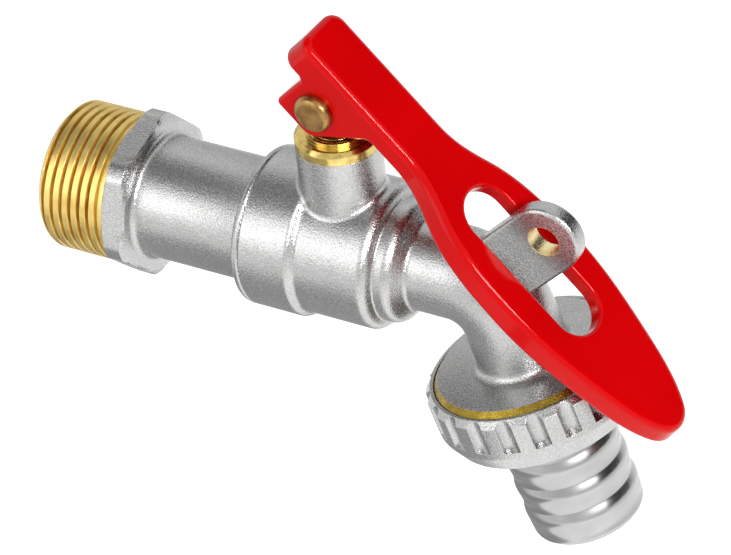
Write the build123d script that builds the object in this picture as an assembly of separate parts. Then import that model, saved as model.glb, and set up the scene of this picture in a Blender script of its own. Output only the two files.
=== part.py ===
from build123d import *
import os
from math import cos, radians, sin, sqrt

# Lockable hose tap: a ball valve with a G 3/4 inlet, a G 1 hose union and a lever.
# The lever's slot drops over a lug that takes a padlock.
# Millimetres. X runs along the inlet axis towards the outlet, Z is up along the stem.
# The origin is on the inlet axis, at the shoulder where the inlet thread ends.

# Inlet connector
INLET_THREAD_R = 13.22
INLET_THREAD_LENGTH = 13.7
INLET_THREAD_CHAMFER = 1.2
INLET_BORE_R = 8.5
INLET_BORE_LENGTH = 31.0
HEX_STEP = 0.28
HEX_CORNER = 1.4
HEX_LENGTH = 4.5
HEX_CHAMFER = 0.7
HEX_TURN = 11.5
NECK_R = 10.8
NECK_ROOT = 1.2
COLLAR_LENGTH = 1.6
COLLAR_ROUND = 1.2
COLLAR_WALL = 2.04
PARTING_CHAMFER = 0.3

# Valve body, measured along X from the stem axis
STEM_AXIS_X = 41.3
BODY_END = 14.2
BODY_R = 13.94
WAIST_STEP = 5.1
WAIST_DROP = 1.02
SHOULDER_START = 8.9
SHOULDER_ROUND = 2.0
LAND_DROP = 1.97
LAND_END = 12.2
LAND_ROUND = 2.2
BODY_ROUND = 0.9
PIPE_R = 8.05
PIPE_BORE_R = 5.7
BOSS_R = 7.24
BOSS_TOP = 21.9
BOSS_FOOT_ROUND = 1.2

# Elbow and outlet
ELBOW_X = 27.2
ELBOW_BEND = 9.0
SPOUT_TILT = 17.4
SPOUT_LENGTH = 15.0
SPOUT_FOOT_ROUND = 1.6
OUTLET_THREAD_R = 16.62
OUTLET_CHAMFER = 0.93
OUTLET_LENGTH = 5.4
OUTLET_MOUTH_R = 10.0
OUTLET_MOUTH_DEPTH = 3.2

# Padlock lug
LUG_HOLE_X = 37.6
LUG_HOLE_Z = 12.65
LUG_HOLE_R = 2.8
LUG_R = 6.15
LUG_THICKNESS = 3.2
LUG_REACH = 16.0
LUG_ROUND = 0.7

# Ball, seats and stem
BALL_R = 10.0
PORT_R = 6.0
CHAMBER_GAP = 0.4
SEAT_R = 9.4
SEAT_FRONT = 6.4
SEAT_BACK = 10.6
POCKET_FRONT = 6.6
DRIVE_SLOT_WIDTH = 3.7
DRIVE_SLOT_DEPTH = 2.7
TONGUE_LENGTH = 7.0
STEM_R = 4.0
STEM_SHOULDER_R = 5.0
STEM_GAP = 0.5
STEM_SHOULDER = 1.5
THRUST_WASHER_THICKNESS = 0.6
STEM_WEB = 1.9
TANG_THICKNESS = 4.8
PACKING_R = 5.6
PACKING_RING = 1.8
PACKING_COUNT = 2
GLAND_FLANGE = 2.2
GLAND_CHAMFER = 0.7
GLAND_COLLAR_R = 5.3
GLAND_HEIGHT = 2.95
GLAND_MOUTH_R = 4.7
GLAND_MOUTH_DEPTH = 1.0

# Lever: s along the lever from its pivot, n square to its top face
PIVOT_Z = 31.28
LEVER_SLOPE = 44.0
LEVER_YAW = 3.7
LEVER_TOP = 8.95
LEVER_DEPTH = 4.4
LEVER_ROOF = 2.6
LEVER_WALL = 2.5
LEVER_TOP_ROUND = 1.3
LEVER_LOW_ROUND = 0.7
HEAD_BACK = 10.2
HEAD_CORNER = 2.6
HEAD_UNDERSIDE = 2.6
NECK_HALF = 5.3
NECK_FORE_END = 15.0
FLARE_S = 26.9
FLARE_HALF = 8.5
PADDLE_S = 45.0
PADDLE_HALF = 10.95
TAPER_S = 62.7
TAPER_HALF = 8.45
TIP_S = 78.0
TIP_R = 4.3
TIP_JOIN = 55.0
PADDLE_DRAFT = 0.8
CHEEK_BACK = 5.4
CHEEK_DROP = 5.7
CHEEK_CORNER = 0.9
CHEEK_FORE = 9.0
CHEEK_TOE = 2.6
CHEEK_TOE_ROUND = 2.6
CHEEK_ROOT_ROUND = 1.6
CHANNEL_BACK = 4.8
CHANNEL_CORNER = 0.9
SLOT_START = 26.3
SLOT_LENGTH = 30.2
SLOT_WIDTH = 10.0
SLOT_ROUND = 0.7

# Lever pin
PIN_R = 2.0
PIN_HEAD_R = 3.4
PIN_HEAD = 1.7
PIN_HEAD_ROUND = 1.1

# Hose union, measured down the spout from the top of the outlet boss
NUT_WALL = 1.64
NUT_TOP = 0.8
NUT_TOP_CHAMFER = 1.05
NUT_FOOT = 8.2
NUT_FOOT_DROP = 1.75
NUT_BOTTOM = 11.6
NUT_BOTTOM_ROUND = 1.0
NUT_LIP = 1.8
NUT_LIP_R = 11.2
FLUTE_COUNT = 21
FLUTE_R = 1.6
FLUTE_DEPTH = 1.0
FLUTE_END = 7.0
WASHER_THICKNESS = 1.9
WASHER_BORE_R = 9.0
TAIL_COLLAR_STEP = 0.42
TAIL_BORE_R = 6.8
BARB_R = 10.25
BARB_DEPTH = 0.45
BARB_FIRST = 18.2
BARB_PITCH = 5.4
BARB_RISE = 1.9
BARB_COUNT = 3
BARB_ROUND = 3.0
BARB_ROOT_ROUND = 0.5
TAIL_END = 34.3
TAIL_END_DROP = 0.35
TAIL_END_ROUND = 1.5

# Clearances
FIT = 0.03
RUNNING = 0.05
SCREW_PLAY = 0.1
AXIAL_PLAY = 0.05
TANG_PLAY = 0.1
CUT = 40.0

HEX_FLATS = 2 * (INLET_THREAD_R + HEX_STEP)
HEX_CORNER_R = HEX_FLATS / 2 + HEX_CORNER
NOSE_R = BODY_R - COLLAR_WALL
WAIST_R = BODY_R - WAIST_DROP
LAND_R = WAIST_R - LAND_DROP
CHAMBER_R = BALL_R + CHAMBER_GAP
DRIVE_SLOT_FLOOR = BALL_R - DRIVE_SLOT_DEPTH
STEM_SHOULDER_BOTTOM = BALL_R + STEM_GAP
STEM_SHOULDER_TOP = STEM_SHOULDER_BOTTOM + STEM_SHOULDER
NUT_BORE_R = OUTLET_THREAD_R + SCREW_PLAY
NUT_R = NUT_BORE_R + NUT_WALL
TAIL_COLLAR_R = OUTLET_THREAD_R - TAIL_COLLAR_STEP
BARB_VALLEY_R = BARB_R - BARB_DEPTH
TAIL_END_R = BARB_R - TAIL_END_DROP
BODY_FACE = STEM_AXIS_X - BODY_END
NECK_END = BODY_FACE - COLLAR_LENGTH
NOSE_END = STEM_AXIS_X - POCKET_FRONT
POCKET_BACK = STEM_AXIS_X - SEAT_BACK
WASHER_SEAT = STEM_SHOULDER_TOP + AXIAL_PLAY + THRUST_WASHER_THICKNESS
PACKING_FLOOR = WASHER_SEAT + STEM_WEB
PACKING_TOP = PACKING_FLOOR + PACKING_COUNT * PACKING_RING
TANG_FOOT = BOSS_TOP + GLAND_HEIGHT
TAIL_TOP = OUTLET_LENGTH + WASHER_THICKNESS
LIP_TOP = NUT_BOTTOM - NUT_LIP
CHANNEL_HALF = TANG_THICKNESS / 2 + TANG_PLAY
LEVER_UNDERSIDE = LEVER_TOP - LEVER_DEPTH

STEM_AXIS = Pos(STEM_AXIS_X, 0, 0)
STEM_FRAME = STEM_AXIS * Rot(0, 0, -LEVER_YAW)
LEVER_FRAME = STEM_FRAME * Pos(0, 0, PIVOT_Z) * Rot(0, LEVER_SLOPE, 0)

SPOUT_DOWN = Vector(sin(radians(SPOUT_TILT)), 0, -cos(radians(SPOUT_TILT)))
SPOUT_OUT = Vector(cos(radians(SPOUT_TILT)), 0, sin(radians(SPOUT_TILT)))
OUTLET_CENTRE = Vector(STEM_AXIS_X + ELBOW_X, 0, 0) + SPOUT_DOWN * SPOUT_LENGTH
SPOUT_FRAME = Plane(origin=OUTLET_CENTRE, x_dir=SPOUT_OUT, z_dir=SPOUT_DOWN).location


def rounded_face(corners):
    """A flat face from (u, v, rounding) corners."""
    points = [(u, v) for u, v, rounding in corners]
    roundings = [rounding for u, v, rounding in corners]
    return make_face(FilletPolyline(*points, radius=roundings, close=True))


def turned_x(corners):
    """A solid turned about X from (x, radius, rounding) corners."""
    return revolve(rounded_face(corners), Axis.X)


def turned_z(corners):
    """A solid turned about Z from (radius, z, rounding) corners."""
    return revolve(Plane.XZ * rounded_face(corners), Axis.Z)


def ring(outer, inner, bottom, top):
    """A plain ring about Z."""
    return turned_z([(inner, bottom, 0), (outer, bottom, 0), (outer, top, 0), (inner, top, 0)])


def inlet_connector():
    turned = turned_x([
        (-INLET_THREAD_LENGTH, 0, 0),
        (-INLET_THREAD_LENGTH, INLET_THREAD_R - INLET_THREAD_CHAMFER, 0),
        (INLET_THREAD_CHAMFER - INLET_THREAD_LENGTH, INLET_THREAD_R, 0),
        (HEX_LENGTH / 2, INLET_THREAD_R, 0),
        (HEX_LENGTH, NECK_R + NECK_ROOT, 0),
        (HEX_LENGTH + NECK_ROOT, NECK_R, NECK_ROOT),
        (NECK_END, NECK_R, NECK_ROOT / 2),
        (NECK_END, BODY_R, COLLAR_ROUND),
        (BODY_FACE - PARTING_CHAMFER, BODY_R, 0),
        (BODY_FACE, BODY_R - PARTING_CHAMFER, 0),
        (BODY_FACE, NOSE_R, 0),
        (NOSE_END, NOSE_R, 0),
        (NOSE_END, 0, 0),
    ])
    hexagon = RegularPolygon(HEX_FLATS / 2, 6, major_radius=False)
    prism = extrude(Plane.YZ * Rot(0, 0, HEX_TURN) * hexagon, HEX_LENGTH)
    flat_r = HEX_FLATS / 2
    barrel = turned_x([
        (0, 0, 0),
        (0, flat_r, 0),
        (HEX_CHAMFER, HEX_CORNER_R, 0),
        (HEX_LENGTH - HEX_CHAMFER, HEX_CORNER_R, 0),
        (HEX_LENGTH, flat_r - HEX_CHAMFER / 2, 0),
        (HEX_LENGTH, 0, 0),
    ])
    throat = INLET_BORE_LENGTH - INLET_THREAD_LENGTH
    waterway = turned_x([
        (-INLET_THREAD_LENGTH - CUT, 0, 0),
        (-INLET_THREAD_LENGTH - CUT, INLET_BORE_R, 0),
        (throat, INLET_BORE_R, 0),
        (throat + INLET_BORE_R - PORT_R, PORT_R, 0),
        (POCKET_BACK, PORT_R, 0),
        (POCKET_BACK, SEAT_R + FIT, 0),
        (NOSE_END + CUT, SEAT_R + FIT, 0),
        (NOSE_END + CUT, 0, 0),
    ])
    return turned + (prism & barrel) - waterway


def body_outside():
    chest = STEM_AXIS * turned_x([
        (-BODY_END, 0, 0),
        (-BODY_END, BODY_R - PARTING_CHAMFER, 0),
        (PARTING_CHAMFER - BODY_END, BODY_R, 0),
        (-WAIST_STEP, BODY_R, BODY_ROUND),
        (-WAIST_STEP + BODY_R - WAIST_R, WAIST_R, BODY_ROUND),
        (SHOULDER_START, WAIST_R, SHOULDER_ROUND),
        (SHOULDER_START + BODY_ROUND, LAND_R, BODY_ROUND / 2),
        (LAND_END, LAND_R, LAND_ROUND),
        (LAND_END + LAND_ROUND, PIPE_R, LAND_ROUND / 2),
        (ELBOW_X / 2 + LAND_END / 2, PIPE_R, 0),
        (ELBOW_X / 2 + LAND_END / 2, 0, 0),
    ])
    boss = STEM_AXIS * extrude(Circle(BOSS_R), BOSS_TOP)
    chest = chest + boss
    foot = [edge for edge in chest.edges().filter_by(GeomType.BSPLINE) if edge.center().Z > BOSS_R]
    return fillet(foot, BOSS_FOOT_ROUND)


def pipe_run(radius, start, end):
    """A round rod along the pipe, round the elbow and down the spout."""
    corner = Vector(STEM_AXIS_X + ELBOW_X, 0, 0)
    path = FilletPolyline((STEM_AXIS_X + start, 0, 0), corner, corner + SPOUT_DOWN * end, radius=ELBOW_BEND)
    return sweep(Plane.YZ.offset(STEM_AXIS_X + start) * Circle(radius), path=path)


def padlock_lug(casting):
    """The plate on the elbow, square to the lowered lever, with a round end about the padlock hole."""
    plate = SlotCenterPoint((0, -LUG_REACH / 2), (0, 0), 2 * LUG_R)
    lug = extrude(plate, LUG_THICKNESS / 2, both=True)
    lug = fillet(lug.edges().group_by(Axis.Z)[0] + lug.edges().group_by(Axis.Z)[-1], LUG_ROUND)
    lug -= extrude(Circle(LUG_HOLE_R), CUT, both=True)
    upright = Pos(STEM_AXIS_X + LUG_HOLE_X, 0, LUG_HOLE_Z) * Rot(0, LEVER_SLOPE, 0) * Rot(90, 0, 0)
    return upright * lug - casting


def outlet_boss():
    """The threaded outlet below the spout, from its top face down."""
    boss = turned_z([
        (0, 0, 0),
        (OUTLET_THREAD_R - OUTLET_CHAMFER, 0, 0),
        (OUTLET_THREAD_R, OUTLET_CHAMFER, 0),
        (OUTLET_THREAD_R, OUTLET_LENGTH, 0),
        (0, OUTLET_LENGTH, 0),
    ])
    return SPOUT_FRAME * boss


def casting_outside():
    """The cast body before it is bored: chest, stem boss, elbow, spout and outlet."""
    body = body_outside() + pipe_run(PIPE_R, LAND_END, SPOUT_LENGTH + OUTLET_CHAMFER) + outlet_boss()
    spout_foot = body.edges().filter_by(GeomType.CIRCLE).sort_by_distance(OUTLET_CENTRE)[0]
    return fillet(spout_foot, SPOUT_FOOT_ROUND)


def valve_body(casting):
    chamber = STEM_AXIS * turned_x([
        (-BODY_END - CUT, 0, 0),
        (-BODY_END - CUT, NOSE_R + FIT, 0),
        (-POCKET_FRONT + AXIAL_PLAY, NOSE_R + FIT, 0),
        (-POCKET_FRONT + AXIAL_PLAY, CHAMBER_R, 0),
        (POCKET_FRONT, CHAMBER_R, 0),
        (POCKET_FRONT, SEAT_R + FIT, 0),
        (SEAT_BACK, SEAT_R + FIT, 0),
        (SEAT_BACK, PORT_R, 0),
        (LAND_END, PORT_R, 0),
        (LAND_END, 0, 0),
    ])
    stem_way = STEM_AXIS * turned_z([
        (0, 0, 0),
        (STEM_SHOULDER_R + RUNNING, 0, 0),
        (STEM_SHOULDER_R + RUNNING, WASHER_SEAT, 0),
        (STEM_R + RUNNING, WASHER_SEAT, 0),
        (STEM_R + RUNNING, PACKING_FLOOR, 0),
        (PACKING_R + FIT, PACKING_FLOOR, 0),
        (PACKING_R + FIT, BOSS_TOP + CUT, 0),
        (0, BOSS_TOP + CUT, 0),
    ])
    mouth = SPOUT_FRAME * turned_z([
        (0, OUTLET_LENGTH - OUTLET_MOUTH_DEPTH - OUTLET_MOUTH_R + PIPE_BORE_R, 0),
        (PIPE_BORE_R, OUTLET_LENGTH - OUTLET_MOUTH_DEPTH - OUTLET_MOUTH_R + PIPE_BORE_R, 0),
        (OUTLET_MOUTH_R, OUTLET_LENGTH - OUTLET_MOUTH_DEPTH, 0),
        (OUTLET_MOUTH_R, OUTLET_LENGTH + CUT, 0),
        (0, OUTLET_LENGTH + CUT, 0),
    ])
    return casting - chamber - stem_way - pipe_run(PIPE_BORE_R, SEAT_BACK, SPOUT_LENGTH) - mouth


def seat_ring():
    """A seat on the +X side of the ball, with a hollow that follows the ball."""
    hollow_r = BALL_R + RUNNING
    lip = (SEAT_FRONT, sqrt(hollow_r ** 2 - SEAT_FRONT ** 2))
    throat = (sqrt(hollow_r ** 2 - PORT_R ** 2), PORT_R)
    edges = Polyline(throat, (SEAT_BACK, PORT_R), (SEAT_BACK, SEAT_R), (SEAT_FRONT, SEAT_R), lip).edges()
    edges += RadiusArc(lip, throat, hollow_r).edges()
    return revolve(make_face(edges), Axis.X)


def ball():
    """The ball with its bore across the flow, as it stands with the valve shut."""
    bored = Sphere(BALL_R) - Rot(90, 0, 0) * Cylinder(PORT_R, CUT)
    slot = Pos(0, 0, DRIVE_SLOT_FLOOR) * Box(
        CUT, DRIVE_SLOT_WIDTH, CUT, align=(Align.CENTER, Align.CENTER, Align.MIN))
    return bored - slot


def stem():
    turned = turned_z([
        (0, STEM_SHOULDER_BOTTOM, 0),
        (STEM_SHOULDER_R, STEM_SHOULDER_BOTTOM, 0),
        (STEM_SHOULDER_R, STEM_SHOULDER_TOP, 0),
        (STEM_R, STEM_SHOULDER_TOP, 0),
        (STEM_R, TANG_FOOT, 0),
        (0, TANG_FOOT, 0),
    ])
    tang_side = Pos(0, PIVOT_Z) * Circle(STEM_R) + Pos(0, (PIVOT_Z + TANG_FOOT) / 2) * Rectangle(
        2 * STEM_R, PIVOT_Z - TANG_FOOT)
    tang = extrude(Plane.XZ * tang_side, TANG_THICKNESS / 2, both=True)
    tang = tang & Cylinder(STEM_R, 2 * (PIVOT_Z + STEM_R))
    floor = DRIVE_SLOT_FLOOR + RUNNING
    tongue = Pos(0, 0, floor) * Box(
        TONGUE_LENGTH, DRIVE_SLOT_WIDTH - 2 * RUNNING, STEM_SHOULDER_BOTTOM - floor,
        align=(Align.CENTER, Align.CENTER, Align.MIN))
    pin_hole = Pos(0, 0, PIVOT_Z) * Rot(90, 0, 0) * Cylinder(PIN_R + RUNNING, CUT)
    return turned + tang + tongue - pin_hole


def thrust_washer():
    bottom = STEM_SHOULDER_TOP + AXIAL_PLAY
    return ring(STEM_SHOULDER_R, STEM_R + RUNNING, bottom, bottom + THRUST_WASHER_THICKNESS)


def stem_packing():
    rings = []
    for step in range(PACKING_COUNT):
        bottom = PACKING_FLOOR + step * PACKING_RING
        rings.append(ring(PACKING_R, STEM_R + RUNNING, bottom, bottom + PACKING_RING))
    return Compound(children=rings)


def gland_nut():
    return turned_z([
        (STEM_R + RUNNING, PACKING_TOP, 0),
        (PACKING_R, PACKING_TOP, 0),
        (PACKING_R, BOSS_TOP, 0),
        (BOSS_R, BOSS_TOP, 0),
        (BOSS_R, BOSS_TOP + GLAND_FLANGE - GLAND_CHAMFER, 0),
        (BOSS_R - GLAND_CHAMFER, BOSS_TOP + GLAND_FLANGE, 0),
        (GLAND_COLLAR_R, BOSS_TOP + GLAND_FLANGE, 0),
        (GLAND_COLLAR_R, BOSS_TOP + GLAND_HEIGHT, 0),
        (GLAND_MOUTH_R, BOSS_TOP + GLAND_HEIGHT, 0),
        (GLAND_MOUTH_R, BOSS_TOP + GLAND_HEIGHT - GLAND_MOUTH_DEPTH, 0),
        (STEM_R + RUNNING, BOSS_TOP + GLAND_HEIGHT - GLAND_MOUTH_DEPTH, 0),
    ])


def lever_outline(grow_neck, grow_paddle, back, corner):
    """The lever's plan: a straight neck that flares into a long rounded paddle."""
    neck = NECK_HALF + grow_neck
    tip_s = TIP_S - TIP_R
    tip_r = TIP_R + grow_paddle
    join = (tip_s + tip_r * cos(radians(TIP_JOIN)), tip_r * sin(radians(TIP_JOIN)))
    join_dir = (sin(radians(TIP_JOIN)), -cos(radians(TIP_JOIN)))
    back_corner = FilletPolyline((-back, 0), (-back, neck), (NECK_FORE_END, neck), radius=[corner])
    flare = Spline(
        (NECK_FORE_END, neck), (FLARE_S, FLARE_HALF + grow_paddle), (PADDLE_S, PADDLE_HALF + grow_paddle),
        tangents=[(1, 0), (1, 0)])
    taper = Spline(
        (PADDLE_S, PADDLE_HALF + grow_paddle), (TAPER_S, TAPER_HALF + grow_paddle), join,
        tangents=[(1, 0), join_dir])
    tip = TangentArc(join, (tip_s + tip_r, 0), tangent=join_dir)
    half = back_corner.edges() + flare.edges() + taper.edges() + tip.edges()
    other = [mirror(edge, Plane.XZ) for edge in half]
    return make_face(Wire.combine(half + other)[0])


def lever_side():
    """The lever from the side: the arm's flat underside, the cheeks at the pivot and the head behind."""
    side = rounded_face([
        (-CUT, CUT, 0),
        (-CUT, HEAD_UNDERSIDE, 0),
        (-CHEEK_BACK, HEAD_UNDERSIDE, CHEEK_CORNER),
        (-CHEEK_BACK, -CHEEK_DROP, CHEEK_CORNER),
        (CHEEK_TOE, -CHEEK_DROP, CHEEK_TOE_ROUND),
        (CHEEK_FORE, LEVER_UNDERSIDE, CHEEK_ROOT_ROUND),
        (TIP_S + CUT, LEVER_UNDERSIDE, 0),
        (TIP_S + CUT, CUT, 0),
    ])
    return extrude(Plane.XZ * side, CUT, both=True)


def lever():
    spread = PADDLE_DRAFT * (LEVER_TOP + CHEEK_DROP) / LEVER_DEPTH
    top = lever_outline(0, 0, HEAD_BACK, HEAD_CORNER)
    low = lever_outline(0, spread, HEAD_BACK, HEAD_CORNER)
    arm = loft([Pos(0, 0, -CHEEK_DROP) * low, Pos(0, 0, LEVER_TOP) * top], ruled=True) & lever_side()
    arm = fillet(arm.faces().sort_by(Axis.Z)[-1].edges(), LEVER_TOP_ROUND)
    flats = arm.faces().filter_by(GeomType.PLANE).filter_by(lambda face: face.normal_at().Z < 0)
    underside = flats.filter_by(Axis.Z).sort_by(Axis.X)[-1]
    arm = fillet(underside.edges().sort_by(Axis.X)[1:], LEVER_LOW_ROUND)
    hollow = lever_outline(CHANNEL_HALF - NECK_HALF, -LEVER_WALL, CHANNEL_BACK, CHANNEL_CORNER)
    arm -= extrude(Pos(0, 0, -CUT) * hollow, CUT + LEVER_TOP - LEVER_ROOF)
    arm -= Pos(SLOT_START + SLOT_LENGTH / 2, 0, 0) * extrude(SlotOverall(SLOT_LENGTH, SLOT_WIDTH), CUT)
    slot_rim = arm.faces().sort_by(Axis.Z)[-1].inner_wires()[0].edges()
    arm = fillet(slot_rim, SLOT_ROUND)
    return arm - Rot(90, 0, 0) * Cylinder(PIN_R + FIT, CUT)


def lever_pin():
    reach = NECK_HALF + FIT
    pin = turned_z([
        (0, -reach - PIN_HEAD, 0),
        (PIN_HEAD_R, -reach - PIN_HEAD, PIN_HEAD_ROUND),
        (PIN_HEAD_R, -reach, 0),
        (PIN_R, -reach, 0),
        (PIN_R, reach, 0),
        (PIN_HEAD_R, reach, 0),
        (PIN_HEAD_R, reach + PIN_HEAD, PIN_HEAD_ROUND),
        (0, reach + PIN_HEAD, 0),
    ])
    return Pos(0, 0, PIVOT_Z) * Rot(90, 0, 0) * pin


def hose_nut():
    nut = turned_z([
        (NUT_BORE_R, NUT_TOP, 0),
        (NUT_R - NUT_TOP_CHAMFER, NUT_TOP, 0),
        (NUT_R, NUT_TOP + NUT_TOP_CHAMFER, 0),
        (NUT_R, NUT_FOOT, NUT_BOTTOM_ROUND),
        (NUT_R - NUT_FOOT_DROP, NUT_BOTTOM, NUT_BOTTOM_ROUND),
        (NUT_LIP_R, NUT_BOTTOM, 0),
        (NUT_LIP_R, LIP_TOP, 0),
        (NUT_BORE_R, LIP_TOP, 0),
    ])
    groove = Pos(NUT_R + FLUTE_R - FLUTE_DEPTH, 0, FLUTE_END) * Cylinder(
        FLUTE_R, CUT, align=(Align.CENTER, Align.CENTER, Align.MAX))
    for step in range(FLUTE_COUNT):
        nut -= Rot(0, 0, (step + 0.5) * 360 / FLUTE_COUNT) * groove
    return nut


def hose_washer():
    return ring(TAIL_COLLAR_R, WASHER_BORE_R, OUTLET_LENGTH, TAIL_TOP)


def hose_tail():
    corners = [
        (TAIL_BORE_R, TAIL_TOP, 0),
        (TAIL_COLLAR_R, TAIL_TOP, 0),
        (TAIL_COLLAR_R, LIP_TOP, 0),
        (BARB_VALLEY_R, LIP_TOP, 0),
    ]
    for step in range(BARB_COUNT):
        crest = BARB_FIRST + step * BARB_PITCH
        corners.append((BARB_VALLEY_R, crest - BARB_RISE, BARB_ROOT_ROUND))
        corners.append((BARB_R, crest, BARB_ROUND))
    corners.append((TAIL_END_R, TAIL_END, TAIL_END_ROUND))
    corners.append((TAIL_BORE_R, TAIL_END, 0))
    return turned_z(corners)


def main():
    seat = seat_ring()
    casting = casting_outside()
    pieces = {
        "inlet_connector": inlet_connector(),
        "valve_body": valve_body(casting),
        "padlock_lug": padlock_lug(casting),
        "upstream_seat": STEM_AXIS * mirror(seat, Plane.YZ),
        "downstream_seat": STEM_AXIS * seat,
        "ball": STEM_FRAME * ball(),
        "stem": STEM_FRAME * stem(),
        "thrust_washer": STEM_AXIS * thrust_washer(),
        "stem_packing": STEM_AXIS * stem_packing(),
        "gland_nut": STEM_AXIS * gland_nut(),
        "lever": LEVER_FRAME * lever(),
        "lever_pin": STEM_FRAME * lever_pin(),
        "hose_nut": SPOUT_FRAME * hose_nut(),
        "hose_washer": SPOUT_FRAME * hose_washer(),
        "hose_tail": SPOUT_FRAME * hose_tail(),
    }
    os.makedirs("parts", exist_ok=True)
    for name, piece in pieces.items():
        export_step(piece, f"parts/{name}.step")


if __name__ == "__main__":
    main()
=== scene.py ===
"""Visual model of a lockable hose tap: finishes for its solids, the cut inlet thread, studio light and camera."""
import bpy
import math
from mathutils import Matrix, Vector


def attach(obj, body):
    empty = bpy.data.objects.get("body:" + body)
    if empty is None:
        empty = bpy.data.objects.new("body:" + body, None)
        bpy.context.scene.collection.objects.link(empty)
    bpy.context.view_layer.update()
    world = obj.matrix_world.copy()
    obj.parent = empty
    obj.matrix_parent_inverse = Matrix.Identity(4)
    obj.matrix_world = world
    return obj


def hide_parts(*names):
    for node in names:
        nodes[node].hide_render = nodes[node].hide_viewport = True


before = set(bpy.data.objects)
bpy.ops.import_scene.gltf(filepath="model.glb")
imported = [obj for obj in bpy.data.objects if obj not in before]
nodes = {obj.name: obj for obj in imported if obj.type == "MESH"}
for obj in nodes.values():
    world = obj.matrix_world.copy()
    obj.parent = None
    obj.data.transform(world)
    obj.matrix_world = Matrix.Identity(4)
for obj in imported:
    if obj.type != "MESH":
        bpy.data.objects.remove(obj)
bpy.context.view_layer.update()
scene = bpy.context.scene
scene.view_settings.view_transform = "Standard"

# Units
MM = 0.001
FULL_TURN = 2.0 * math.pi

# Sizes repeated from the solids, in millimetres
STEM_X = 41.3
SPOUT_TILT = math.radians(17.4)
SPOUT_DOWN = (math.sin(SPOUT_TILT), 0.0, -math.cos(SPOUT_TILT))
OUTLET = (72.986, 0.0, -14.314)
OUTLET_THREAD_R = 16.62
OUTLET_CHAMFER = 0.93
LUG_HOLE = (78.9, 0.0, 12.65)
LUG_HOLE_R = 2.8
LUG_HOLE_AXIS = (0.0, 1.0, 0.0)
BARB_FIRST = 18.2
BARB_PITCH = 5.4
THREAD_R = 13.22
THREAD_LENGTH = 13.7
THREAD_CHAMFER = 1.2
INLET_BORE_R = 8.5
INLET_BORE_LENGTH = 31.0
INLET_BORE_CHAMFER = 0.4
PORT_R = 6.0
SEAT_POCKET_R = 9.43
SEAT_FLOOR_X = STEM_X - 10.6
HEX_FLATS = 27.0
HEX_CORNER_R = 14.9
HEX_LENGTH = 4.5
HEX_CHAMFER = 0.7
HEX_TURN = math.radians(-18.5)
HEX_SECTOR = math.radians(60.0)
NECK_R = 10.8
NECK_ROOT = 1.2
NECK_END = 25.5
COLLAR_FILLET = 0.6
COLLAR_ROUND = 1.2
BODY_FACE = 27.1
BODY_R = 13.94
NOSE_R = 11.9
NOSE_END = 34.7
PARTING_CHAMFER = 0.3

# The cut thread: pitch and depth in millimetres, width of crest and root as shares of the pitch
THREAD_PITCH = 1.814
THREAD_DEPTH = 1.162
THREAD_CREST = 0.58
THREAD_ROOT = 0.04
THREAD_RUN_OUT = 2.2

# Fineness of the connector's mesh
ROUND_STEPS = 180
THREAD_ROWS = 120
ROOT_STEPS = 6
COLLAR_STEPS = 5
SHARP_ANGLE = math.radians(24.0)
# How far the middle of the fillet before the collar stands off the neck and the collar's face
FILLET_MIDDLE = 0.18
# Inside this radius the connector's wall is bare brass
BARE_R = NECK_R - 0.5

# How far the bare brass reaches past the thread's edge and the hole's wall, in millimetres
RING_MARGIN = 0.02
RING_TOP = -0.1
HOLE_MARGIN = 0.12
# Height of the bump that rounds the barbs, in millimetres
BARB_ROLL = 0.17

# Dark and light tones of the finishes; the outlet ring's tones are darkened with painted shade
NICKEL_DARK = (0.35, 0.349, 0.346)
NICKEL_MID = (0.44, 0.439, 0.436)
NICKEL_LIGHT = (0.54, 0.539, 0.536)
TAIL_TONES = ((0.36, 0.36, 0.358), (0.44, 0.44, 0.438))
BRASS_TONES = ((0.44, 0.32, 0.09), (0.80, 0.61, 0.22))
THREAD_TONES = ((0.64, 0.45, 0.13), (0.80, 0.61, 0.22))
# The outlet's bare thread ring inside the nut: brass darkened with the painted shade of the nut's recess
RING_TONES_WITH_PAINTED_SHADE = ((0.20, 0.13, 0.015), (0.36, 0.25, 0.04))
HOLE_TONES = ((0.66, 0.52, 0.24), (0.90, 0.78, 0.48))
RIVET_TONES = ((0.24, 0.12, 0.04), (0.46, 0.27, 0.10))
CHROME_TONES = ((0.70, 0.71, 0.72), (0.85, 0.85, 0.86))
RED_TONES = ((0.52, 0.0, 0.001), (0.58, 0.0, 0.001))
PTFE_TONES = ((0.86, 0.86, 0.84), (0.94, 0.94, 0.92))
RUBBER_TONES = ((0.02, 0.02, 0.02), (0.05, 0.05, 0.05))
WHITE = (1.0, 1.0, 1.0, 1.0)

# The span that most values of a noise fall in
NOISE_SPAN = (0.3, 0.7)
# Lowest and highest level of the nickel's grain with its clouds
NICKEL_SPAN = (0.38, 0.82)
CLOUD_SHARE = 0.2
WHOLE_SPAN = (0.0, 1.0)
# Turning marks are drawn out along the directions with a small factor
MARKS_ALL_ROUND = (1.0, 1.0, 1.0)
MARKS_ROUND_Z = (0.1, 0.1, 1.0)
MARKS_ROUND_X = (1.0, 0.1, 0.1)
# A turned metal's roughness varies between these multiples of its own
ROUGHNESS_VARIES = (0.8, 1.3)
BEVEL_SAMPLES = 4

# Studio, in metres: the point that lamps and cards face, the floor and the background
MIDDLE = (0.05, 0.0, 0.0)
FLOOR_SIZE = (12.0, 12.0)
FLOOR_LEVEL = -0.17
FLOOR_COLOUR = (0.92, 0.92, 0.92, 1.0)
FLOOR_GLOW = 0.60
MATT = 0.9
WORLD_LIGHT = 0.52

# Lamps: name, place, width and height, watts
LAMPS = (
    ("key", (-0.243, -0.468, 0.234), (0.35, 0.39), 0.80),
    ("strip", (0.417, -0.297, 0.319), (0.34, 0.065), 2.4),
)
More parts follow.
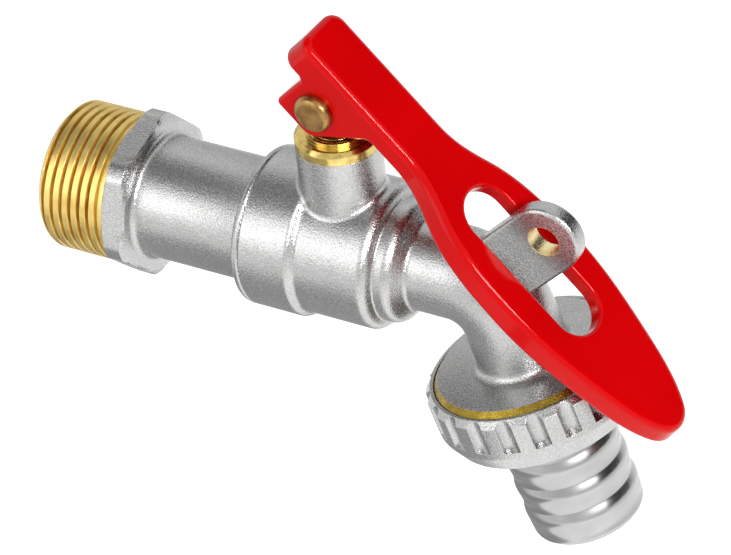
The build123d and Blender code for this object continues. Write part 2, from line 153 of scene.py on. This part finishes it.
# Cards: name, place, width and height, grey, the point that the card faces
CARDS = (
    ("grey_card_above", (-0.16, -0.03, 0.45), (0.45, 0.62), 0.36, MIDDLE),
    ("dark_card_right", (0.51, 0.41, 0.335), (0.60, 0.60), 0.03, MIDDLE),
    # The grey card below, seen only in reflections, stands in for the object's shadow on the floor beneath it:
    # painted shadow
    ("painted_shadow_card_below", (-0.095, -0.10, -0.16), (0.25, 0.40), 0.55, (-0.095, -0.10, 0.0)),
    ("grey_card_behind", (-0.235, 0.35, -0.03), (0.45, 0.42), 0.80, MIDDLE),
    ("dark_card_side", (0.458, 0.0, 0.19), (0.28, 0.28), 0.04, MIDDLE),
)

# Camera fitted to the photo: its axes, its place in metres, lens and sensor in millimetres
CAMERA_RIGHT = (0.8790, 0.4676, -0.0933)
CAMERA_UP = (-0.2338, 0.5931, 0.7704)
CAMERA_BACK = (0.4156, -0.6554, 0.6307)
CAMERA_PLACE = (0.26445, -0.34862, 0.32866)
CAMERA_LENS = 154.26
CAMERA_SENSOR = 36.0
CAMERA_CLIP_START = 0.01


# Material helpers

def new_material(name):
    material = bpy.data.materials.new(name)
    material.use_nodes = True
    tree = material.node_tree
    shader = tree.nodes["Principled BSDF"]
    return material, tree, shader


def add_node(tree, kind, **settings):
    node = tree.nodes.new(kind)
    for key, value in settings.items():
        setattr(node, key, value)
    return node


def metres(point):
    """A point in millimetres, given in metres."""
    return tuple(value * MM for value in point)


def place(tree):
    """Object coordinates, which are metres in the shared frame."""
    return add_node(tree, "ShaderNodeTexCoord").outputs["Object"]


def noise(tree, vector, scale, detail=2.0, roughness=0.5):
    node = add_node(tree, "ShaderNodeTexNoise")
    node.inputs["Scale"].default_value = scale
    node.inputs["Detail"].default_value = detail
    node.inputs["Roughness"].default_value = roughness
    tree.links.new(vector, node.inputs["Vector"])
    return node.outputs["Fac"]


def ramp(tree, value, stops):
    """A colour ramp from (position, colour) stops."""
    node = add_node(tree, "ShaderNodeValToRGB")
    elements = node.color_ramp.elements
    while len(elements) < len(stops):
        elements.new(0.5)
    for element, (position, colour) in zip(elements, stops):
        element.position = position
        element.color = (colour[0], colour[1], colour[2], 1.0)
    tree.links.new(value, node.inputs["Fac"])
    return node.outputs["Color"]


def two_tones(tree, value, tones):
    """A noise turned into colours between a dark and a light tone."""
    return ramp(tree, value, tuple(zip(NOISE_SPAN, tones)))


def spread(tree, value, source, target):
    """A value moved from one range to another and held inside it."""
    node = add_node(tree, "ShaderNodeMapRange")
    node.inputs["From Min"].default_value = source[0]
    node.inputs["From Max"].default_value = source[1]
    node.inputs["To Min"].default_value = target[0]
    node.inputs["To Max"].default_value = target[1]
    tree.links.new(value, node.inputs["Value"])
    return node.outputs["Result"]


def vary_roughness(tree, shader, value, low, high):
    """Roughness that follows a noise."""
    tree.links.new(spread(tree, value, NOISE_SPAN, (low, high)), shader.inputs["Roughness"])


def arithmetic(tree, operation, *values):
    """One sum on numbers and sockets."""
    node = add_node(tree, "ShaderNodeMath", operation=operation)
    for socket, value in zip(node.inputs, values):
        if isinstance(value, (int, float)):
            socket.default_value = value
        else:
            tree.links.new(value, socket)
    return node.outputs["Value"]


def blend_colour(tree, factor, first, second):
    node = add_node(tree, "ShaderNodeMix", data_type="RGBA")
    tree.links.new(factor, node.inputs["Factor"])
    tree.links.new(first, node.inputs["A"])
    tree.links.new(second, node.inputs["B"])
    return node.outputs["Result"]


def bump(tree, shader, height, strength, depth, edge=0.0):
    """Surface relief of a depth in millimetres. Corners are softened over the radius edge."""
    node = add_node(tree, "ShaderNodeBump")
    node.inputs["Strength"].default_value = strength
    node.inputs["Distance"].default_value = depth * MM
    tree.links.new(height, node.inputs["Height"])
    if edge > 0:
        soft = add_node(tree, "ShaderNodeBevel", samples=BEVEL_SAMPLES)
        soft.inputs["Radius"].default_value = edge * MM
        tree.links.new(soft.outputs["Normal"], node.inputs["Normal"])
    tree.links.new(node.outputs["Normal"], shader.inputs["Normal"])


def axis_distance(tree, vector, point, direction):
    """Distance from an axis, and distance along it, both in metres."""
    shift = add_node(tree, "ShaderNodeVectorMath", operation="SUBTRACT")
    tree.links.new(vector, shift.inputs[0])
    shift.inputs[1].default_value = metres(point)
    along = add_node(tree, "ShaderNodeVectorMath", operation="DOT_PRODUCT")
    tree.links.new(shift.outputs["Vector"], along.inputs[0])
    along.inputs[1].default_value = direction
    across = add_node(tree, "ShaderNodeVectorMath", operation="CROSS_PRODUCT")
    tree.links.new(shift.outputs["Vector"], across.inputs[0])
    across.inputs[1].default_value = direction
    radius = add_node(tree, "ShaderNodeVectorMath", operation="LENGTH")
    tree.links.new(across.outputs["Vector"], radius.inputs[0])
    return radius.outputs["Value"], along.outputs["Value"]


# Finishes

def nickel_grain(tree, vector):
    """Colour and height of blasted plate: fine bright grain over slow cloudy changes."""
    grain = noise(tree, vector, scale=3400.0, detail=2.0, roughness=0.6)
    cloud = noise(tree, vector, scale=240.0, detail=3.0, roughness=0.6)
    level = arithmetic(tree, "MULTIPLY_ADD", cloud, CLOUD_SHARE, grain)
    stops = ((0.0, NICKEL_DARK), (0.5, NICKEL_MID), (1.0, NICKEL_LIGHT))
    colour = ramp(tree, spread(tree, level, NICKEL_SPAN, WHOLE_SPAN), stops)
    return colour, grain


def blasted_nickel(name, brass_mask=None, brass_tones=None):
    """Blasted nickel plate, with bare brass in two tones where brass_mask says."""
    material, tree, shader = new_material(name)
    vector = place(tree)
    colour, grain = nickel_grain(tree, vector)
    if brass_mask is not None:
        bare = two_tones(tree, noise(tree, vector, scale=420.0, detail=4.0, roughness=0.6), brass_tones)
        colour = blend_colour(tree, brass_mask(tree, vector), colour, bare)
    tree.links.new(colour, shader.inputs["Base Color"])
    shader.inputs["Metallic"].default_value = 1.0
    vary_roughness(tree, shader, grain, low=0.19, high=0.31)
    bump(tree, shader, grain, strength=0.6, depth=0.12, edge=0.2)
    return material


def outlet_brass(tree, vector):
    """1 on the outlet's bare thread, which shows as a ring inside the nut."""
    radius, along = axis_distance(tree, vector, OUTLET, SPOUT_DOWN)
    ring_r = OUTLET_THREAD_R - OUTLET_CHAMFER + RING_MARGIN
    outside = arithmetic(tree, "GREATER_THAN", radius, ring_r * MM)
    below = arithmetic(tree, "GREATER_THAN", along, RING_TOP * MM)
    return arithmetic(tree, "MULTIPLY", outside, below)


def hole_brass(tree, vector):
    """1 on the drilled wall of the padlock hole."""
    radius = axis_distance(tree, vector, LUG_HOLE, LUG_HOLE_AXIS)[0]
    return arithmetic(tree, "LESS_THAN", radius, (LUG_HOLE_R + HOLE_MARGIN) * MM)


def turned_metal(name, tones, roughness, scale, marks=MARKS_ALL_ROUND):
    """A machined metal with turning marks and a soft change of tone."""
    material, tree, shader = new_material(name)
    vector = place(tree)
    drawn = add_node(tree, "ShaderNodeVectorMath", operation="MULTIPLY")
    tree.links.new(vector, drawn.inputs[0])
    drawn.inputs[1].default_value = marks
    tone = noise(tree, vector, scale, detail=4.0, roughness=0.6)
    tree.links.new(two_tones(tree, tone, tones), shader.inputs["Base Color"])
    shader.inputs["Metallic"].default_value = 1.0
    vary_roughness(tree, shader, tone, roughness * ROUGHNESS_VARIES[0], roughness * ROUGHNESS_VARIES[1])
    lines = noise(tree, drawn.outputs["Vector"], scale=2200.0)
    bump(tree, shader, lines, strength=0.45, depth=0.05, edge=0.2)
    return material


def barbed_nickel(name):
    """Polished nickel, with a bump that makes the tail's barbs look a little rounder at their crests."""
    material, tree, shader = new_material(name)
    vector = place(tree)
    tone = noise(tree, vector, scale=150.0, detail=3.0)
    tree.links.new(two_tones(tree, tone, TAIL_TONES), shader.inputs["Base Color"])
    shader.inputs["Metallic"].default_value = 1.0
    vary_roughness(tree, shader, tone, low=0.20, high=0.28)
    along = axis_distance(tree, vector, OUTLET, SPOUT_DOWN)[1]
    past_first = arithmetic(tree, "SUBTRACT", along, BARB_FIRST * MM)
    turns = arithmetic(tree, "MULTIPLY", past_first, FULL_TURN / (BARB_PITCH * MM))
    bump(tree, shader, arithmetic(tree, "COSINE", turns), strength=1.0, depth=BARB_ROLL)
    return material


def red_paint(name):
    """Smooth red paint under a thin clear coat, with a slight waviness."""
    material, tree, shader = new_material(name)
    vector = place(tree)
    tone = noise(tree, vector, scale=60.0, detail=3.0)
    tree.links.new(two_tones(tree, tone, RED_TONES), shader.inputs["Base Color"])
    vary_roughness(tree, shader, tone, low=0.10, high=0.16)
    shader.inputs["Specular IOR Level"].default_value = 0.2
    shader.inputs["Specular Tint"].default_value = (1.0, 0.12, 0.12, 1.0)
    shader.inputs["Coat Weight"].default_value = 0.18
    shader.inputs["Coat Roughness"].default_value = 0.06
    bump(tree, shader, noise(tree, vector, scale=260.0), strength=0.10, depth=0.10, edge=0.3)
    return material


def plain_solid(name, tones, roughness):
    """A dull moulded material with slight mottling."""
    material, tree, shader = new_material(name)
    tone = noise(tree, place(tree), scale=500.0, detail=3.0)
    tree.links.new(two_tones(tree, tone, tones), shader.inputs["Base Color"])
    shader.inputs["Roughness"].default_value = roughness
    bump(tree, shader, tone, strength=0.1, depth=0.05)
    return material


nickel = blasted_nickel("blasted_nickel")
thread_brass = turned_metal("thread_brass", THREAD_TONES, roughness=0.36, scale=300.0, marks=MARKS_ROUND_X)
brass = turned_metal("turned_brass", BRASS_TONES, roughness=0.16, scale=500.0, marks=MARKS_ROUND_Z)
ptfe = plain_solid("ptfe", PTFE_TONES, roughness=0.5)

finishes = {
    # The ring inside the nut takes brass tones darkened with painted shade
    "valve_body": blasted_nickel("blasted_nickel_body", outlet_brass, RING_TONES_WITH_PAINTED_SHADE),
    "padlock_lug": blasted_nickel("blasted_nickel_lug", hole_brass, HOLE_TONES),
    "hose_nut": nickel,
    "hose_tail": barbed_nickel("bright_nickel"),
    "gland_nut": brass,
    "stem": brass,
    "lever_pin": turned_metal("rivet_brass", RIVET_TONES, roughness=0.30, scale=500.0),
    "lever": red_paint("red_paint"),
    "ball": turned_metal("ball_chrome", CHROME_TONES, roughness=0.08, scale=300.0),
    "upstream_seat": ptfe,
    "downstream_seat": ptfe,
    "thrust_washer": ptfe,
    "stem_packing": ptfe,
    "hose_washer": plain_solid("washer_rubber", RUBBER_TONES, roughness=0.7),
}
for node_name, finish in finishes.items():
    slots = nodes[node_name].data.materials
    if slots:
        for index in range(len(slots)):
            slots[index] = finish
    else:
        slots.append(finish)


# Inlet connector with its cut thread

def thread_drop(turns):
    """How far below the crest the thread lies, from 0 to 1, at a place counted in turns."""
    part = turns - math.floor(turns)
    side = min(part, 1.0 - part)
    flank = 0.5 - (THREAD_CREST + THREAD_ROOT) / 2
    rise = min(max((side - THREAD_CREST / 2) / flank, 0.0), 1.0)
    return rise * rise * (3.0 - 2.0 * rise)


def thread_radius(x, angle):
    """The thread's outline, which starts on a chamfer and runs out before the hexagon."""
    drop = THREAD_DEPTH * thread_drop(x / THREAD_PITCH + angle / FULL_TURN)
    lead_in = THREAD_R - THREAD_CHAMFER + (x + THREAD_LENGTH)
    run_out = min(max(-x / THREAD_RUN_OUT, 0.0), 1.0)
    return min(THREAD_R - drop * run_out, lead_in)


def hex_radius(x, angle):
    """The hexagon's outline with its turned corners and chamfered ends."""
    local = (angle % HEX_SECTOR) - HEX_SECTOR / 2
    flat = HEX_FLATS / 2 / math.cos(local)
    near_end = min(x, HEX_LENGTH - x)
    start = HEX_FLATS / 2 - (0.0 if x < HEX_LENGTH / 2 else HEX_CHAMFER / 2)
    cone = start + (HEX_CORNER_R - start) * min(near_end / HEX_CHAMFER, 1.0)
    return min(flat, HEX_CORNER_R, cone)


def connector_rows():
    """The connector's outline, from the inlet's face along the outside and back through the bore.

    A row is a place x with a radius, or with the function that gives the radius round the axis."""
    rows = []
    for index in range(THREAD_ROWS + 1):
        rows.append((thread_radius, -THREAD_LENGTH + THREAD_LENGTH * index / THREAD_ROWS))
    for x in (0.0, HEX_CHAMFER / 2, HEX_CHAMFER, HEX_LENGTH / 2):
        rows.append((hex_radius, x))
    for x in (HEX_CHAMFER, HEX_CHAMFER / 2, 0.0):
        rows.append((hex_radius, HEX_LENGTH - x))
    for step in range(ROOT_STEPS + 1):
        angle = math.radians(90.0 * step / ROOT_STEPS)
        x = HEX_LENGTH + NECK_ROOT * (1.0 - math.cos(angle))
        rows.append((NECK_R + NECK_ROOT * (1.0 - math.sin(angle)), x))
    rows.append((NECK_R, NECK_END - COLLAR_FILLET))
    rows.append((NECK_R + FILLET_MIDDLE, NECK_END - FILLET_MIDDLE))
    rows.append((NECK_R + COLLAR_FILLET, NECK_END))
    for step in range(COLLAR_STEPS + 1):
        angle = math.radians(90.0 * step / COLLAR_STEPS)
        x = NECK_END + COLLAR_ROUND * (1.0 - math.cos(angle))
        rows.append((BODY_R - COLLAR_ROUND * (1.0 - math.sin(angle)), x))
    rows.append((BODY_R, BODY_FACE - PARTING_CHAMFER))
    rows.append((BODY_R - PARTING_CHAMFER, BODY_FACE))
    rows.append((NOSE_R, BODY_FACE))
    rows.append((NOSE_R, NOSE_END))
    rows.append((SEAT_POCKET_R, NOSE_END))
    rows.append((SEAT_POCKET_R, SEAT_FLOOR_X))
    rows.append((PORT_R, SEAT_FLOOR_X))
    bore_end = INLET_BORE_LENGTH - THREAD_LENGTH
    rows.append((PORT_R, bore_end + INLET_BORE_R - PORT_R))
    rows.append((INLET_BORE_R, bore_end))
    rows.append((INLET_BORE_R, -THREAD_LENGTH + INLET_BORE_CHAMFER))
    rows.append((INLET_BORE_R + INLET_BORE_CHAMFER, -THREAD_LENGTH))
    return rows


def connector_mesh(name):
    """A closed mesh over the rows, thread and bore in brass and the rest in nickel."""
    rows = connector_rows()
    points = []
    for outline, x in rows:
        for step in range(ROUND_STEPS):
            angle = FULL_TURN * step / ROUND_STEPS
            radius = outline(x, angle) if callable(outline) else outline
            across = -radius * MM * math.sin(angle + HEX_TURN)
            height = radius * MM * math.cos(angle + HEX_TURN)
            points.append((x * MM, across, height))
    faces = []
    for row in range(len(rows)):
        first = row * ROUND_STEPS
        second = (row + 1) % len(rows) * ROUND_STEPS
        for step in range(ROUND_STEPS):
            after = (step + 1) % ROUND_STEPS
            faces.append((first + step, first + after, second + after, second + step))
    mesh = bpy.data.meshes.new(name)
    mesh.from_pydata(points, [], faces)
    mesh.materials.append(thread_brass)
    mesh.materials.append(nickel)
    for polygon in mesh.polygons:
        inside = math.hypot(polygon.center.y, polygon.center.z) < BARE_R * MM
        polygon.material_index = 0 if polygon.center.x < 0.0 or inside else 1
        polygon.use_smooth = True
    mesh.set_sharp_from_angle(angle=SHARP_ANGLE)
    return mesh


connector = bpy.data.objects.new("inlet_connector_threaded", connector_mesh("inlet_connector_threaded"))
scene.collection.objects.link(connector)
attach(connector, "root")
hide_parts("inlet_connector")


# Floor, light and camera

def facing(place_m, aim_m):
    """The rotation that turns an object's -Z axis from one point towards another."""
    return (Vector(aim_m) - Vector(place_m)).to_track_quat("-Z", "Y").to_euler()


def board(name, size, material):
    """A flat rectangle about its own origin."""
    x = size[0] / 2
    y = size[1] / 2
    mesh = bpy.data.meshes.new(name)
    mesh.from_pydata([(-x, -y, 0.0), (x, -y, 0.0), (x, y, 0.0), (-x, y, 0.0)], [], [(0, 1, 2, 3)])
    mesh.materials.append(material)
    piece = bpy.data.objects.new(name, mesh)
    scene.collection.objects.link(piece)
    return piece


def add_lamp(name, place_m, size, power):
    """A soft rectangular lamp that the camera doesn't see."""
    data = bpy.data.lights.new(name, "AREA")
    data.shape = "RECTANGLE"
    data.size = size[0]
    data.size_y = size[1]
    data.energy = power
    light = bpy.data.objects.new(name, data)
    light.location = place_m
    light.rotation_euler = facing(place_m, MIDDLE)
    light.visible_camera = False
    scene.collection.objects.link(light)


def add_card(name, place_m, size, grey, aim_m):
    """A grey or dark board beside the object, seen only in its reflections."""
    material, _, shader = new_material(name)
    shader.inputs["Base Color"].default_value = (grey, grey, grey, 1.0)
    shader.inputs["Roughness"].default_value = MATT
    piece = board(name, size, material)
    piece.location = place_m
    piece.rotation_euler = facing(place_m, aim_m)
    piece.visible_camera = False
    piece.visible_diffuse = False
    piece.visible_shadow = False


def white_rays(tree):
    """1 for rays that show the background itself: straight views, reflections and views through."""
    path = add_node(tree, "ShaderNodeLightPath")
    first = arithmetic(tree, "MAXIMUM", path.outputs["Is Camera Ray"], path.outputs["Is Glossy Ray"])
    return arithmetic(tree, "MAXIMUM", first, path.outputs["Is Transmission Ray"])


def add_world():
    """A white background that gives less light than it shows."""
    scene.world = bpy.data.worlds.new("studio")
    scene.world.use_nodes = True
    tree = scene.world.node_tree
    background = tree.nodes["Background"]
    background.inputs["Color"].default_value = WHITE
    strength = spread(tree, white_rays(tree), WHOLE_SPAN, (WORLD_LIGHT, 1.0))
    tree.links.new(strength, background.inputs["Strength"])


def add_floor():
    """A pale floor that looks white, also in reflections, and keeps the object's shadow."""
    material, tree, shader = new_material("floor")
    shader.inputs["Base Color"].default_value = FLOOR_COLOUR
    shader.inputs["Roughness"].default_value = MATT
    shader.inputs["Emission Color"].default_value = WHITE
    glow = spread(tree, white_rays(tree), WHOLE_SPAN, (0.0, FLOOR_GLOW))
    tree.links.new(glow, shader.inputs["Emission Strength"])
    piece = board("floor", FLOOR_SIZE, material)
    piece.location.z = FLOOR_LEVEL


def add_camera():
    """The photo's own view."""
    data = bpy.data.cameras.new("camera")
    data.sensor_fit = "HORIZONTAL"
    data.sensor_width = CAMERA_SENSOR
    data.lens = CAMERA_LENS
    data.clip_start = CAMERA_CLIP_START
    eye = bpy.data.objects.new("camera", data)
    turn = Matrix((CAMERA_RIGHT, CAMERA_UP, CAMERA_BACK)).transposed().to_4x4()
    eye.matrix_world = Matrix.Translation(CAMERA_PLACE) @ turn
    scene.collection.objects.link(eye)
    scene.camera = eye


add_world()
add_floor()
add_camera()
for settings in CARDS:
    add_card(*settings)
for settings in LAMPS:
    add_lamp(*settings)
